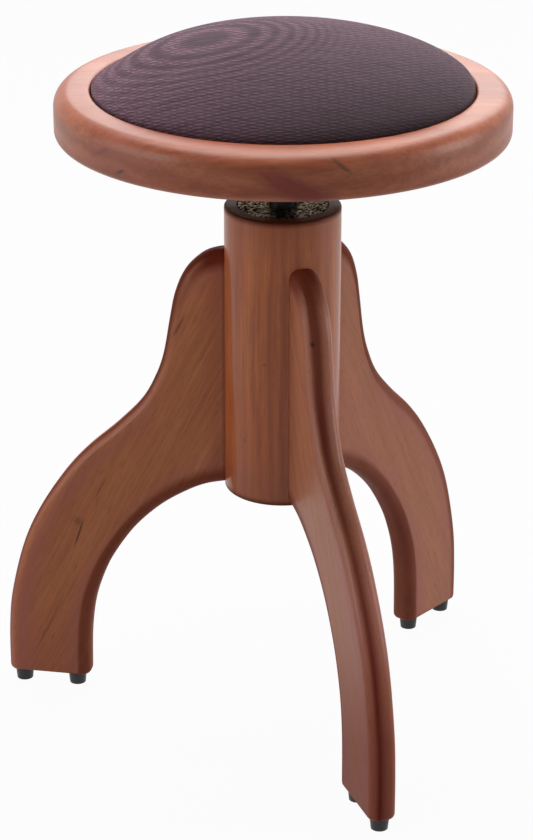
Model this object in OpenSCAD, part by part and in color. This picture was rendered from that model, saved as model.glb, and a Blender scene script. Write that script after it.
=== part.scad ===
// Revolving piano stool: a padded round seat on a screw spindle, a turned column and three curved legs.
// Millimetres. Z is the column's axis, the floor is Z = 0 and the front leg points along -Y.

/* [Seat ring] */
// Outer diameter of the wooden ring
seat_d = 330; // [310:2:350]
// Height of the ring's highest line, beside the pad, above the floor at the setting shown
seat_top = 497; // [492:0.5:520]
// Thickness of the ring beside the pad
ring_h = 33.5; // [31:0.5:37]
// How far the ring's top falls from the pad to its outer edge
ring_fall = 0.5; // [0:0.25:2]
// Width of the ring's top face, from its outer edge in to the pad's hole
ring_w = 26.5; // [22:0.5:32]
// Rounding of the ring's upper outer edge
ring_edge_r = 11.5; // [7:0.5:13]
// Rounding of the ring's lower outer edge
ring_foot_r = 5; // [3:0.5:7]
// Rounding of the ring's edge beside the pad
ring_lip_r = 2.5; // [1:0.25:3.5]
// Width of the rebate that takes the seat board
rebate_w = 10; // [8:0.5:12]
// Thickness of the plywood seat board
seat_board_h = 18; // [15:1:20]

/* [Pad] */
// Height of the pad's crown above the ring
crown_h = 39.5; // [35:0.5:46]
// Height of the pad's widest line above the ring
brim_h = 0.5; // [0.25:0.25:3]
// How far the pad's sides draw in below the widest line
draw_in = 3; // [1.5:0.5:5]
// Thickness of the fabric cover
cover_t = 1.2; // [0.8:0.1:1.6]
// Width of the cover's margin turned under the pad board
margin_w = 26; // [20:1:34]
// Thickness of the pad's plywood base
pad_board_h = 8; // [6:0.5:9]
// Number of staples along the turned margin
staple_count = 24; // [16:1:30]

/* [Column] */
// Diameter of the column
column_d = 86; // [80:1:94]
// Height of the column's lower end above the floor
column_lift = 185; // [175:1:195]
// Length of the column
column_h = 223; // [215:1:226]
// Diameter of the bore down the column
bore_d = 36; // [35:0.5:38]
// Rounding of the column's end edges
column_edge_r = 2; // [1:0.5:3]

/* [Legs] */
// Radius of the legs' outer edge at the floor
leg_reach = 217; // [205:0.5:228]
// Height where a leg's outer edge meets the column
leg_top = 372; // [360:1:385]
// Thickness of the legs
leg_t = 20.5; // [19.5:0.5:25]
// Rounding along the legs' edges
leg_edge_r = 8; // [6:0.5:9.5]
// Width of a leg just above the floor
foot_w = 65.5; // [58:0.5:74]
// Rounding of the leg's two lower corners
foot_corner_r = 4; // [2:0.5:6]
// Rounding along the leg's lower edge
foot_edge_r = 2.5; // [1:0.5:3]
// Height of the arch's end above the column's lower end
arch_step = 1.5; // [0:0.5:4]
// Diameter of the dowels that hold the legs
dowel_d = 10; // [8:0.5:12]
// Length of a dowel in the column, and again in the leg
dowel_grip = 17; // [14:1:18]

/* [Glides] */
// Height of the plastic glides under the legs
glide_h = 9.5; // [8:0.5:13]
// Diameter of a glide where it meets the leg
glide_top_d = 14; // [13:0.5:16]
// Diameter of a glide's contact face
glide_foot_d = 12.5; // [10:0.5:13]
// Distance from a leg's outer edge to the outer glide's centre
glide_inset = 10.5; // [9:0.5:14]
// Distance from a leg's inner edge to the inner glide's centre
inner_glide_inset = 12; // [9:0.5:15]

/* [Screw] */
// Diameter of the spindle's smooth shank
shank_d = 21; // [20.6:0.1:22]
// Outer diameter of the spindle's thread
thread_d = 20; // [19:0.25:20.5]
// Rise of the seat for one turn
pitch = 6; // [5:0.5:7]
// Depth of the thread
thread_depth = 1.9; // [1.4:0.1:2.1]
// How far the seat screws down from the setting shown
travel_down = 36; // [24:1:36]
// How far the seat screws up from the setting shown
travel_up = 72; // [48:1:78]

/* [Metalwork] */
// Diameter of the steel plate let into the column's top
top_plate_d = 66; // [62:1:70]
// Thickness of that plate
top_plate_t = 3; // [2.5:0.5:4]
// Outer diameter of the guide tube
tube_d = 27; // [26:0.5:29]
// Length of the guide tube
tube_h = 46; // [42:1:50]
// Outer diameter of the spindle nut
nut_d = 35; // [33:0.5:35]
// Length of the spindle nut
nut_h = 38; // [34:1:42]
// Width of the square mounting plate under the seat
plate_w = 120; // [110:2:140]
// Thickness of the mounting plate
plate_t = 4; // [3:0.5:4.5]
// Diameter of the collar welded under the mounting plate
hub_d = 34; // [30:1:40]
// Length of that collar
hub_h = 8; // [6:0.5:8.5]

/* [Hidden] */

$fn = 96;

// Steps along a rounded edge of the ring's section
arc_steps = 8;

// Directions of the three legs, seen from above
front_angle = -90;
right_angle = 30;
left_angle = 150;
leg_angles = [front_angle, right_angle, left_angle];

// Clearances: wood screws in their holes, turning fits, the loose guide disc, soft parts, and the thread
screw_fit = 0.1;
turn_fit = 0.05;
disc_fit = 0.1;
soft_gap = 0.3;
thread_fit = 0.3;
pad_gap = 0.8;
board_fit = 0.2;
nut_fit = 0.3;
// Play of the guide disc along its journal, and room left at the ends of the seat's travel
end_play = 0.3;
stop_gap = 1;
// What a cutting solid runs past the face that it cuts
overrun = 1;

// Heights
seat_bottom = seat_top - ring_h;
board_top = seat_bottom + seat_board_h;
plate_bottom = seat_bottom - plate_t;
column_top = column_lift + column_h;
recess_h = top_plate_t + 0.5 * soft_gap;
plate_seat = column_top - recess_h;
plate_top = plate_seat + top_plate_t;
tube_bottom = plate_top - tube_h;
socket_h = 6;
nut_top = tube_bottom + socket_h;
nut_bottom = nut_top - nut_h;
shank_bottom = tube_bottom + travel_down + 2 * stop_gap;
thread_bottom = nut_bottom - travel_up - stop_gap;

// Radii
column_r = column_d / 2;
bore_r = bore_d / 2;
hole_r = seat_d / 2 - ring_w;
board_r = hole_r + rebate_w - board_fit;
pad_r = hole_r - pad_gap;
shank_r = shank_d / 2;
crest_r = thread_d / 2;
root_r = crest_r - thread_depth;

// A pan-head or countersunk wood screw: diameter, head diameter and head height
plate_screw = [5, 9.5, 3];
ring_screw = [4, 8, 2.6];
pad_screw = [4, 9, 2.6];
top_screw = [4.5, 8.5, 2.4];
plate_screw_l = 15;
ring_screw_l = 26;
pad_screw_l = 24;
top_screw_l = 32;
// Where a screw's shank turns into its point, and the cross slot in its head
point_share = 0.85;
slot_depth_share = 0.45;
slot_length_share = 0.55;
slot_width_share = 0.12;

// Rings of screws: three in the column's top, eight through the board into the ring, four into the pad
top_screw_count = 3;
top_screw_angle = -45;
top_screw_ring_r = (bore_r + top_plate_d / 2) / 2 - screw_fit;
ring_screw_count = 8;
ring_screw_ring_r = hole_r + rebate_w / 2;
pad_screw_count = 4;
pad_screw_ring_share = 0.7;
pad_screw_ring_r = pad_r * pad_screw_ring_share;
plate_screw_inset = 12;
plate_corner_r = 10;
plate_hole_xy = plate_w / 2 - plate_screw_inset;

// The thread's flats and flanks across one pitch, and its facets for one turn
root_flat_share = 0.32;
flank_share = 0.2;
crest_flat_share = 0.28;
thread_steps = 20;
fade_steps = 8;
fade_start_share = 0.2;
thread_runout = 1;

// The journal below the thread, with what it carries
journal_d = 14;
disc_h = 12;
washer_d = 26;
washer_t = 2;
stop_screw_d = 8;
stop_screw_l = 18;
stop_head_d = 14.5;
stop_head_h = 5.3;
journal_bottom = thread_bottom - disc_h - 2 * end_play;

// A leg's outer edge, from inside the column to the foot: share of the way from the column's face to
// the reach, and share of the height from the foot up to the leg's top
outer_shares = [
    [-0.05, 1.003], [0.033, 0.998], [0.102, 0.983], [0.172, 0.948], [0.215, 0.899], [0.238, 0.845],
    [0.268, 0.763], [0.306, 0.708], [0.37, 0.651], [0.48, 0.593], [0.614, 0.533], [0.72, 0.473],
    [0.838, 0.384], [0.919, 0.295], [0.98, 0.176], [0.998, 0.087], [1, 0]
];
// A leg's inner edge, the arch: share of the way from the column's face to the foot's inner edge, and
// share of the height from the foot up to the arch's end on the column
inner_shares = [
    [-0.08, 1.003], [0.128, 0.974], [0.302, 0.921], [0.478, 0.845], [0.655, 0.734], [0.809, 0.592],
    [0.897, 0.474], [0.96, 0.345], [0.992, 0.19], [1, 0]
];
// How much of the lower corners' rounding the flat sides lose
corner_loss_share = 0.7;
leg_stations = 45;
edge_levels = 3;
corner_levels = 3;

// Dowels in each leg: how high they are, as shares of the joint's height, and their chamfered ends
dowel_height_shares = [0.24, 0.76];
dowel_chamfer = 1;

// Nails through the glides, and the glide's collar
nail_d = 2.5;
nail_l = 24;
nail_head_d = 6;
nail_head_h = 1;
nail_recess = 2.5;
glide_collar_h = 2;

// The pad's rounded section: how full its crown is, and how many steps its outline has
crown_power = 1.85;
crown_steps = 24;
side_steps = 6;

// Staples: wire thickness, and the crown's length across the margin
staple_wire = 0.7;
staple_w = 10;
staple_leg = 6;
pad_bottom = board_top + soft_gap;
cover_bottom = pad_bottom + staple_wire;
pad_board_bottom = cover_bottom + cover_t + soft_gap;
pad_board_r = pad_r - draw_in - cover_t - soft_gap;
staple_ring_r = pad_board_r - margin_w / 2;

wood_color = [0.62, 0.36, 0.22];
column_color = [0.56, 0.33, 0.19];
plywood_color = [0.82, 0.68, 0.47];
fabric_color = [0.34, 0.25, 0.31];
foam_color = [0.93, 0.88, 0.72];
black_color = [0.08, 0.08, 0.09];
zinc_color = [0.66, 0.66, 0.63];
brass_color = [0.72, 0.58, 0.32];
nylon_color = [0.9, 0.9, 0.87];

// Copies of a child around the axis
module ring_of(count, r, start = 0) {
    for (i = [0 : count - 1])
        rotate([0, 0, start + i * 360 / count])
            translate([r, 0, 0])
                children();
}

// A plain hole upwards from z = 0, for a screw of diameter d
module screw_hole(d, l) {
    translate([0, 0, -overrun])
        cylinder(d = d + 2 * screw_fit, h = l + overrun + screw_fit, $fn = 32);
}

// A wood screw pointing up, its head's seat at z = 0; sizes are [diameter, head diameter, head height]
module wood_screw(sizes, l, flush = false) {
    d = sizes[0];
    head_d = sizes[1];
    head_h = sizes[2];
    slot_h = head_h * slot_depth_share;
    head_low = flush ? 0 : -head_h;
    difference() {
        union() {
            cylinder(d = d, h = l * point_share, $fn = 32);
            translate([0, 0, l * point_share])
                cylinder(d1 = d, d2 = d * slot_width_share, h = l * (1 - point_share), $fn = 32);
            if (flush)
                cylinder(d1 = head_d, d2 = d, h = head_h, $fn = 32);
            else
                translate([0, 0, -head_h])
                    cylinder(d1 = head_d - head_h, d2 = head_d, h = head_h, $fn = 32);
        }
        for (turn = [0, 90])
            rotate([0, 0, turn])
                translate([-head_d * slot_length_share / 2, -head_d * slot_width_share / 2, head_low - overrun])
                    cube([head_d * slot_length_share, head_d * slot_width_share, slot_h + overrun]);
    }
}

// Column

module column() {
    color(column_color)
        difference() {
            rotate_extrude()
                difference() {
                    union() {
                        translate([0, column_lift])
                            square([column_r - column_edge_r, column_h]);
                        translate([0, column_lift + column_edge_r])
                            square([column_r, column_h - 2 * column_edge_r]);
                        for (z = [column_lift + column_edge_r, column_top - column_edge_r])
                            translate([column_r - column_edge_r, z])
                                circle(r = column_edge_r, $fn = 32);
                    }
                    translate([-overrun, column_lift - overrun])
                        square([bore_r + overrun, column_h + 2 * overrun]);
                    translate([-overrun, plate_seat])
                        square([top_plate_d / 2 + soft_gap + overrun, recess_h + overrun]);
                }
            translate([0, 0, plate_seat + top_plate_t])
                ring_of(top_screw_count, top_screw_ring_r, top_screw_angle)
                    rotate([180, 0, 0])
                        screw_hole(top_screw[0], top_screw_l);
            for (angle = leg_angles)
                rotate([0, 0, angle])
                    dowel_holes();
        }
}

// Legs

// A point at parameter u, from 0 to 1, on a smooth curve through the given points
function clamped(points, i) = points[max(0, min(len(points) - 1, i))];
function blend(a, b, c, d, t) =
    (2 * b + (c - a) * t + (2 * a - 5 * b + 4 * c - d) * t * t + (3 * b - a - 3 * c + d) * t * t * t) / 2;
function along(points, u) =
    let (span = u * (len(points) - 1), i = min(floor(span), len(points) - 2))
    blend(clamped(points, i - 1), points[i], points[i + 1], clamped(points, i + 2), span - i);
function unit(v) = v / norm(v);

// The leg stands on its glides; its two edges end where the lower corners begin to round
foot_inner = leg_reach - foot_w;
corner_z = glide_h + foot_corner_r;
function outer_point(share) = [
    column_r + share[0] * (leg_reach - column_r),
    corner_z + share[1] * (leg_top - corner_z)
];
function inner_point(share) = [
    column_r + share[0] * (foot_inner - column_r),
    corner_z + share[1] * (column_lift + arch_step - corner_z)
];

// One edge of the leg inset by e along its normal, then its rounded lower corner; side is 1 for the
// outer edge and -1 for the inner one
function leg_edge(points, corner_x, side, e) = concat(
    [for (k = [0 : leg_stations - 1])
        let (
            u = k / leg_stations,
            here = along(points, u),
            ahead = along(points, min(1, u + 1 / leg_stations / 4)),
            behind = along(points, max(0, u - 1 / leg_stations / 4)),
            run = unit(ahead - behind)
        )
        here + side * e * [run[1], -run[0]]],
    [for (k = [0 : corner_levels])
        let (
            turn = 90 * k / corner_levels,
            share = e / leg_edge_r,
            corner = foot_corner_r * (1 - share * corner_loss_share)
        )
        [
            corner_x - side * (e + corner * (1 - cos(turn))),
            corner_z - (foot_corner_r - share * foot_edge_r) * sin(turn)
        ]]
);
function leg_outline(e) = concat(
    leg_edge([for (s = outer_shares) outer_point(s)], leg_reach, 1, e),
    reversed(leg_edge([for (s = inner_shares) inner_point(s)], foot_inner, -1, e))
);
function reversed(list) = [for (i = [len(list) - 1 : -1 : 0]) list[i]];

// The blank: layers across the thickness, each an outline inset to round the edges
module leg_blank() {
    turns = [for (k = [0 : edge_levels]) 90 * k / edge_levels];
    flat_y = leg_t / 2 - leg_edge_r;
    layers = concat(
        [for (t = reversed(turns)) [-flat_y - leg_edge_r * sin(t), leg_edge_r * (1 - cos(t))]],
        [for (t = turns) [flat_y + leg_edge_r * sin(t), leg_edge_r * (1 - cos(t))]]
    );
    count = 2 * (leg_stations + corner_levels + 1);
    points = [for (layer = layers) for (p = leg_outline(layer[1])) [p[0], layer[0], p[1]]];
    walls = [
        for (a = [0 : len(layers) - 2]) for (i = [0 : count - 1])
            let (j = (i + 1) % count, low = a * count, high = low + count)
            for (face = [[low + i, high + i, high + j], [low + i, high + j, low + j]]) face
    ];
    last = (len(layers) - 1) * count;
    sides = [
        for (i = [0 : count / 2 - 2])
            let (j = i + 1, ii = count - 1 - i, jj = ii - 1)
            for (face = [
                [i, j, jj], [i, jj, ii],
                [last + i, last + jj, last + j], [last + i, last + ii, last + jj]
            ]) face
    ];
    polyhedron(points = points, faces = concat(walls, sides));
}

function joint_height(share) = column_lift + share * (leg_top - column_lift);

module dowel_holes() {
    for (share = dowel_height_shares)
        translate([column_r - dowel_grip - screw_fit, 0, joint_height(share)])
            rotate([0, 90, 0])
                cylinder(d = dowel_d, h = 2 * (dowel_grip + screw_fit), $fn = 48);
}

glide_radii = [leg_reach - glide_inset, foot_inner + inner_glide_inset];

module leg(angle) {
    color(wood_color)
        rotate([0, 0, angle])
            difference() {
                leg_blank();
                translate([0, 0, column_lift - overrun])
                    cylinder(r = column_r, h = column_h + overrun);
                dowel_holes();
                for (r = glide_radii)
                    translate([r, 0, glide_h])
                        screw_hole(nail_d, nail_recess + nail_l - glide_h);
            }
}

module leg_dowels() {
    color(plywood_color)
        for (angle = leg_angles)
            rotate([0, 0, angle])
                for (share = dowel_height_shares)
                    translate([column_r, 0, joint_height(share)])
                        rotate([0, 90, 0])
                            for (half = [0, 180])
                                rotate([half, 0, 0]) {
                                    cylinder(d = dowel_d, h = dowel_grip - dowel_chamfer, $fn = 48);
                                    translate([0, 0, dowel_grip - dowel_chamfer])
                                        cylinder(d1 = dowel_d, d2 = dowel_d - 2 * dowel_chamfer,
                                                 h = dowel_chamfer, $fn = 48);
                                }
}

// Glides

module glide(angle, r) {
    color(black_color)
        rotate([0, 0, angle])
            translate([r, 0, 0])
                difference() {
                    union() {
                        cylinder(d1 = glide_foot_d, d2 = glide_top_d, h = glide_h - glide_collar_h, $fn = 48);
                        translate([0, 0, glide_h - glide_collar_h])
                            cylinder(d = glide_top_d, h = glide_collar_h, $fn = 48);
                    }
                    translate([0, 0, -overrun])
                        cylinder(d = nail_head_d + 2 * screw_fit, h = nail_recess + overrun, $fn = 32);
                    screw_hole(nail_d, glide_h + overrun);
                }
}

module glide_nails() {
    color(zinc_color)
        for (angle = leg_angles)
            for (r = glide_radii)
                rotate([0, 0, angle])
                    translate([r, 0, nail_recess]) {
                        translate([0, 0, -nail_head_h])
                            cylinder(d = nail_head_d, h = nail_head_h, $fn = 32);
                        cylinder(d = nail_d, h = nail_l * point_share, $fn = 32);
                        translate([0, 0, nail_l * point_share])
                            cylinder(d1 = nail_d, d2 = nail_d * slot_width_share,
                                     h = nail_l * (1 - point_share), $fn = 32);
                    }
}

// Plate, tube and nut in the column

module top_plate() {
    color(zinc_color)
        difference() {
            translate([0, 0, plate_seat])
                cylinder(d = top_plate_d, h = top_plate_t);
            translate([0, 0, plate_seat - overrun])
                cylinder(d = tube_d, h = top_plate_t + 2 * overrun);
            translate([0, 0, plate_top])
                ring_of(top_screw_count, top_screw_ring_r, top_screw_angle)
                    rotate([180, 0, 0]) {
                        screw_hole(top_screw[0], top_plate_t + overrun);
                        cylinder(d1 = top_screw[1] + 2 * screw_fit, d2 = top_screw[0] + 2 * screw_fit,
                                 h = top_screw[2], $fn = 32);
                    }
        }
}

module top_plate_screws() {
    color(zinc_color)
        translate([0, 0, plate_top])
            ring_of(top_screw_count, top_screw_ring_r, top_screw_angle)
                rotate([180, 0, 0])
                    wood_screw(top_screw, top_screw_l, flush = true);
}

module guide_tube() {
    color(zinc_color)
        translate([0, 0, tube_bottom])
            difference() {
                cylinder(d = tube_d, h = tube_h);
                translate([0, 0, -overrun])
                    cylinder(r = shank_r + turn_fit, h = tube_h + 2 * overrun);
            }
}

// A threaded rod from z_low to z_high with plain ends. The thread starts at height z_first on the +X
// side, rises by one pitch a turn, and c makes it fatter all round, which cuts the nut's thread.
module threaded_rod(z_low, z_high, z_first, c = 0) {
    n = thread_steps;
    grow = c > 0 ? 1 / cos(180 / n) : 1;
    root = (root_r + c) * grow;
    crest = (crest_r + c) * grow;
    m = floor((z_high - z_first - thread_runout) / pitch * n) - n;
    root_flat = pitch * root_flat_share - 2 * c;
    flank = pitch * flank_share;
    crest_flat = pitch * crest_flat_share + 2 * c;
    levels = [0, root_flat, root_flat + flank, root_flat + flank + crest_flat];
    function spot(r, i, z) = [r * cos(360 * i / n), r * sin(360 * i / n), z];
    function height(i) = z_first + c + pitch * i / n;
    function fade(i) = min(1, fade_start_share + min(i, m - i) / fade_steps);
    function ridge(i) = root + (crest - root) * fade(i);
    low_ring = [for (i = [0 : n - 1]) spot(root, i, z_low)];
    high_ring = [for (i = [0 : n - 1]) spot(root, i, z_high)];
    root_line = [for (i = [0 : m + n]) spot(root, i, height(i))];
    others = [for (k = [1 : 3]) for (i = [0 : m]) spot(k == 1 ? root : ridge(i), i, height(i) + levels[k])];
    low = 0;
    high = n;
    first = 2 * n;
    function p0(i) = first + i;
    function pk(k, i) = first + m + n + 1 + (k - 1) * (m + 1) + i;
    function low_at(i) = low + i % n;
    function high_at(i) = high + i % n;
    function strip(a, b, a_next, b_next) = [[a, b, b_next], [a, b_next, a_next]];
    thread = [
        for (i = [0 : m - 1]) for (face = concat(
            strip(p0(i), pk(1, i), p0(i + 1), pk(1, i + 1)),
            strip(pk(1, i), pk(2, i), pk(1, i + 1), pk(2, i + 1)),
            strip(pk(2, i), pk(3, i), pk(2, i + 1), pk(3, i + 1)),
            strip(pk(3, i), p0(i + n), pk(3, i + 1), p0(i + n + 1))
        )) face
    ];
    low_wall = [
        for (i = [0 : n - 2])
            for (face = strip(low_at(i), p0(i), low_at(i + 1), p0(i + 1))) face
    ];
    high_wall = [
        for (i = [m + 1 : m + n - 1])
            for (face = strip(p0(i), high_at(i), p0(i + 1), high_at(i + 1))) face
    ];
    seams = [
        [low_at(n - 1), p0(n - 1), p0(n)], [low_at(n - 1), p0(n), pk(1, 0)],
        [low_at(n - 1), pk(1, 0), p0(0)], [low_at(n - 1), p0(0), low_at(0)],
        [pk(1, 0), p0(n), pk(3, 0)], [pk(1, 0), pk(3, 0), pk(2, 0)],
        [p0(m + 1), p0(m), pk(1, m)], [p0(m + 1), pk(1, m), p0(m + n)],
        [p0(m + 1), p0(m + n), high_at(m)], [p0(m + 1), high_at(m), high_at(m + 1)],
        [pk(1, m), pk(2, m), pk(3, m)], [pk(1, m), pk(3, m), p0(m + n)]
    ];
    ends = [[for (i = [0 : n - 1]) low_at(i)], [for (i = [n - 1 : -1 : 0]) high_at(i)]];
    polyhedron(
        points = concat(low_ring, high_ring, root_line, others),
        faces = concat(thread, low_wall, high_wall, seams, ends)
    );
}

// The nut's thread is cut from a whole number of turns above the spindle's start, so the two stay in step,
// and starts two turns or more below the nut, so its shallow first turn lies outside
thread_first = thread_bottom + thread_runout;
cut_turns = floor((nut_bottom - thread_first) / pitch) - 2;
cut_first = thread_first + cut_turns * pitch;

module spindle_nut() {
    color(brass_color)
        difference() {
            translate([0, 0, nut_bottom])
                cylinder(d = nut_d, h = nut_h);
            translate([0, 0, tube_bottom])
                cylinder(d = tube_d, h = socket_h + overrun);
            threaded_rod(cut_first - thread_runout, nut_top + 2 * pitch, cut_first, thread_fit);
        }
}

// Spindle, with the disc that steadies its lower end

module spindle() {
    color(black_color)
        difference() {
            union() {
                threaded_rod(thread_bottom, shank_bottom, thread_first);
                translate([0, 0, shank_bottom])
                    cylinder(r = shank_r, h = seat_bottom - shank_bottom);
                translate([0, 0, journal_bottom])
                    cylinder(d = journal_d, h = thread_bottom - journal_bottom);
            }
            translate([0, 0, journal_bottom])
                screw_hole(stop_screw_d, stop_screw_l);
        }
}

module guide_disc() {
    color(nylon_color)
        translate([0, 0, thread_bottom - end_play - disc_h])
            difference() {
                cylinder(r = bore_r - disc_fit, h = disc_h);
                translate([0, 0, -overrun])
                    cylinder(r = journal_d / 2 + turn_fit, h = disc_h + 2 * overrun);
            }
}

module stop_washer() {
    color(zinc_color)
        translate([0, 0, journal_bottom - washer_t])
            difference() {
                cylinder(d = washer_d, h = washer_t);
                screw_hole(stop_screw_d, washer_t + overrun);
            }
}

module stop_screw() {
    color(zinc_color)
        translate([0, 0, journal_bottom - washer_t]) {
            cylinder(d = stop_screw_d, h = stop_screw_l, $fn = 32);
            translate([0, 0, -stop_head_h])
                cylinder(d = stop_head_d, h = stop_head_h, $fn = 6);
        }
}

module spindle_hub() {
    color(black_color)
        translate([0, 0, plate_bottom - hub_h])
            difference() {
                cylinder(d1 = hub_d - hub_h / 2, d2 = hub_d, h = hub_h);
                translate([0, 0, -overrun])
                    cylinder(r = shank_r, h = hub_h + 2 * overrun);
            }
}

module at_plate_holes() {
    for (x = [-plate_hole_xy, plate_hole_xy])
        for (y = [-plate_hole_xy, plate_hole_xy])
            translate([x, y, plate_bottom])
                children();
}

module mounting_plate() {
    straight = plate_w - 2 * plate_corner_r;
    color(black_color)
        difference() {
            translate([0, 0, plate_bottom])
                linear_extrude(plate_t)
                    union() {
                        square([plate_w, straight], center = true);
                        square([straight, plate_w], center = true);
                        for (x = [-straight / 2, straight / 2])
                            for (y = [-straight / 2, straight / 2])
                                translate([x, y])
                                    circle(r = plate_corner_r, $fn = 48);
                    }
            translate([0, 0, plate_bottom - overrun])
                cylinder(r = shank_r, h = plate_t + 2 * overrun);
            at_plate_holes()
                screw_hole(plate_screw[0], plate_t + overrun);
        }
}

module plate_screws() {
    color(zinc_color)
        at_plate_holes()
            wood_screw(plate_screw, plate_screw_l);
}

// Seat

module at_ring_screws() {
    translate([0, 0, seat_bottom])
        ring_of(ring_screw_count, ring_screw_ring_r, 180 / ring_screw_count)
            children();
}

module at_pad_screws() {
    translate([0, 0, seat_bottom])
        ring_of(pad_screw_count, pad_screw_ring_r)
            children();
}

module seat_board() {
    color(plywood_color)
        difference() {
            translate([0, 0, seat_bottom])
                cylinder(r = board_r, h = seat_board_h);
            at_plate_holes()
                screw_hole(plate_screw[0], plate_screw_l);
            at_ring_screws()
                screw_hole(ring_screw[0], seat_board_h + overrun);
            at_pad_screws()
                screw_hole(pad_screw[0], seat_board_h + overrun);
        }
}

// Points along an arc from angle a to angle b
function arc_points(x, z, r, a, b) = [
    for (k = [0 : arc_steps])
        let (turn = a + (b - a) * k / arc_steps)
        [x + r * cos(turn), z + r * sin(turn)]
];

// The ring's section: a small lip beside the pad, a top that falls outwards, and round outer edges
function ring_section() =
    let (
        r = ring_edge_r,
        slope = atan(2 * ring_fall / (ring_w - r)),
        fall_w = ring_w - ring_lip_r - r * (1 - sin(slope)),
        edge_x = seat_d / 2 - r,
        edge_z = seat_top - ring_fall - r * cos(slope),
        foot_x = seat_d / 2 - ring_foot_r,
        foot_z = seat_bottom + ring_foot_r
    )
    concat(
        arc_points(hole_r + ring_lip_r, seat_top - ring_lip_r, ring_lip_r, 180, 90),
        [for (k = [1 : arc_steps - 1])
            let (share = k / arc_steps)
            [hole_r + ring_lip_r + share * fall_w, seat_top - ring_fall * share * share]],
        arc_points(edge_x, edge_z, r, 90 - slope, 0),
        arc_points(foot_x, foot_z, ring_foot_r, 0, -90),
        [
            [hole_r + rebate_w, seat_bottom], [hole_r + rebate_w, board_top],
            [hole_r, board_top]
        ]
    );

module seat_ring() {
    color(wood_color)
        difference() {
            rotate_extrude()
                polygon(ring_section());
            at_ring_screws()
                screw_hole(ring_screw[0], ring_screw_l);
        }
}

module ring_screws() {
    color(zinc_color)
        at_ring_screws()
            wood_screw(ring_screw, ring_screw_l);
}

// Pad

// The outline of the pad inset by e, from the crown's middle down to its lower edge: a full crown, then
// sides that draw in to meet the base
brim_z = seat_top + brim_h;
function pad_outline(e, low_z) = concat(
    [for (k = [0 : crown_steps])
        let (turn = 90 * (1 - k / crown_steps))
        [
            (pad_r - e) * pow(cos(turn), 2 / crown_power),
            brim_z + (crown_h - brim_h - e) * pow(sin(turn), 2 / crown_power)
        ]],
    [for (k = [1 : side_steps])
        let (share = k / side_steps)
        [pad_r - e - draw_in * share * share, brim_z - share * (brim_z - low_z)]]
);

module pad_board() {
    color(plywood_color)
        difference() {
            translate([0, 0, pad_board_bottom])
                cylinder(r = pad_board_r, h = pad_board_h);
            at_pad_screws()
                screw_hole(pad_screw[0], pad_screw_l);
            at_staples()
                staple_legs(screw_fit);
        }
}

module pad_foam() {
    low_z = pad_board_bottom + pad_board_h;
    color(foam_color)
        rotate_extrude()
            polygon(concat([[0, low_z]], pad_outline(cover_t + soft_gap, low_z)));
}

module pad_cover() {
    margin_r = pad_board_r - margin_w;
    inside = reversed(pad_outline(cover_t, cover_bottom + cover_t));
    color(fabric_color)
        difference() {
            rotate_extrude()
                polygon(concat(
                    pad_outline(0, cover_bottom),
                    [[margin_r, cover_bottom], [margin_r, cover_bottom + cover_t]],
                    inside
                ));
            at_staples()
                staple_legs(screw_fit);
        }
}

module at_staples() {
    translate([0, 0, cover_bottom])
        ring_of(staple_count, staple_ring_r, 180 / staple_count)
            children();
}

module staple_legs(c = 0) {
    for (y = [-staple_w / 2, staple_w / 2 - staple_wire])
        translate([-staple_wire / 2 - c, y - c, -overrun * sign(c)])
            cube([staple_wire + 2 * c, staple_wire + 2 * c, staple_leg + c + overrun * sign(c)]);
}

module cover_staples() {
    color(zinc_color)
        at_staples() {
            translate([-staple_wire / 2, -staple_w / 2, -staple_wire])
                cube([staple_wire, staple_w, staple_wire]);
            staple_legs();
        }
}

module pad_screws() {
    color(zinc_color)
        at_pad_screws()
            wood_screw(pad_screw, pad_screw_l);
}

column();
leg(left_angle);  // leg_left
leg(front_angle);  // leg_front
leg(right_angle);  // leg_right
leg_dowels();
glide(left_angle, glide_radii[0]);  // glide_left_outer
glide(left_angle, glide_radii[1]);  // glide_left_inner
glide(front_angle, glide_radii[0]);  // glide_front_outer
glide(front_angle, glide_radii[1]);  // glide_front_inner
glide(right_angle, glide_radii[0]);  // glide_right_outer
glide(right_angle, glide_radii[1]);  // glide_right_inner
glide_nails();
top_plate();
top_plate_screws();
guide_tube();
spindle_nut();
guide_disc();
spindle();
spindle_hub();
mounting_plate();
plate_screws();
stop_washer();
stop_screw();
seat_board();
seat_ring();
ring_screws();
pad_board();
pad_foam();
pad_cover();
cover_staples();
pad_screws();
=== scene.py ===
import math
import bpy
import bmesh
from mathutils import Matrix, Vector


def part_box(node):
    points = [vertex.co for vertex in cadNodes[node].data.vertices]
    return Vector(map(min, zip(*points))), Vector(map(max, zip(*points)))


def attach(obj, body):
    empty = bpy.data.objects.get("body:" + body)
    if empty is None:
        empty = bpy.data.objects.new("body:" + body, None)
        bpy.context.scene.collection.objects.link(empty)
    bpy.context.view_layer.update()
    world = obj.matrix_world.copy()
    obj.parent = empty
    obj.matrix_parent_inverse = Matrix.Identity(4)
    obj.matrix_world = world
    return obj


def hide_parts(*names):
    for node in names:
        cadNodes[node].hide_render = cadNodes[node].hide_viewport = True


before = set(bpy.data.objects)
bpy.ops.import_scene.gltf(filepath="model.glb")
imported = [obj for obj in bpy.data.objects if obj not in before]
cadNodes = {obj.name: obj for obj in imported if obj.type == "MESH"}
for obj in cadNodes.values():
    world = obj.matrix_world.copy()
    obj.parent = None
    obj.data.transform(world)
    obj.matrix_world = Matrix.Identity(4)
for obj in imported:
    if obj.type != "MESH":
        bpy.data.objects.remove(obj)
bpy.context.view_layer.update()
scene = bpy.context.scene
print("frame loaded:", len(cadNodes), "nodes")


# Small helpers for node trees. A source is a node, for its first output, or a (node, socket) pair

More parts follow.
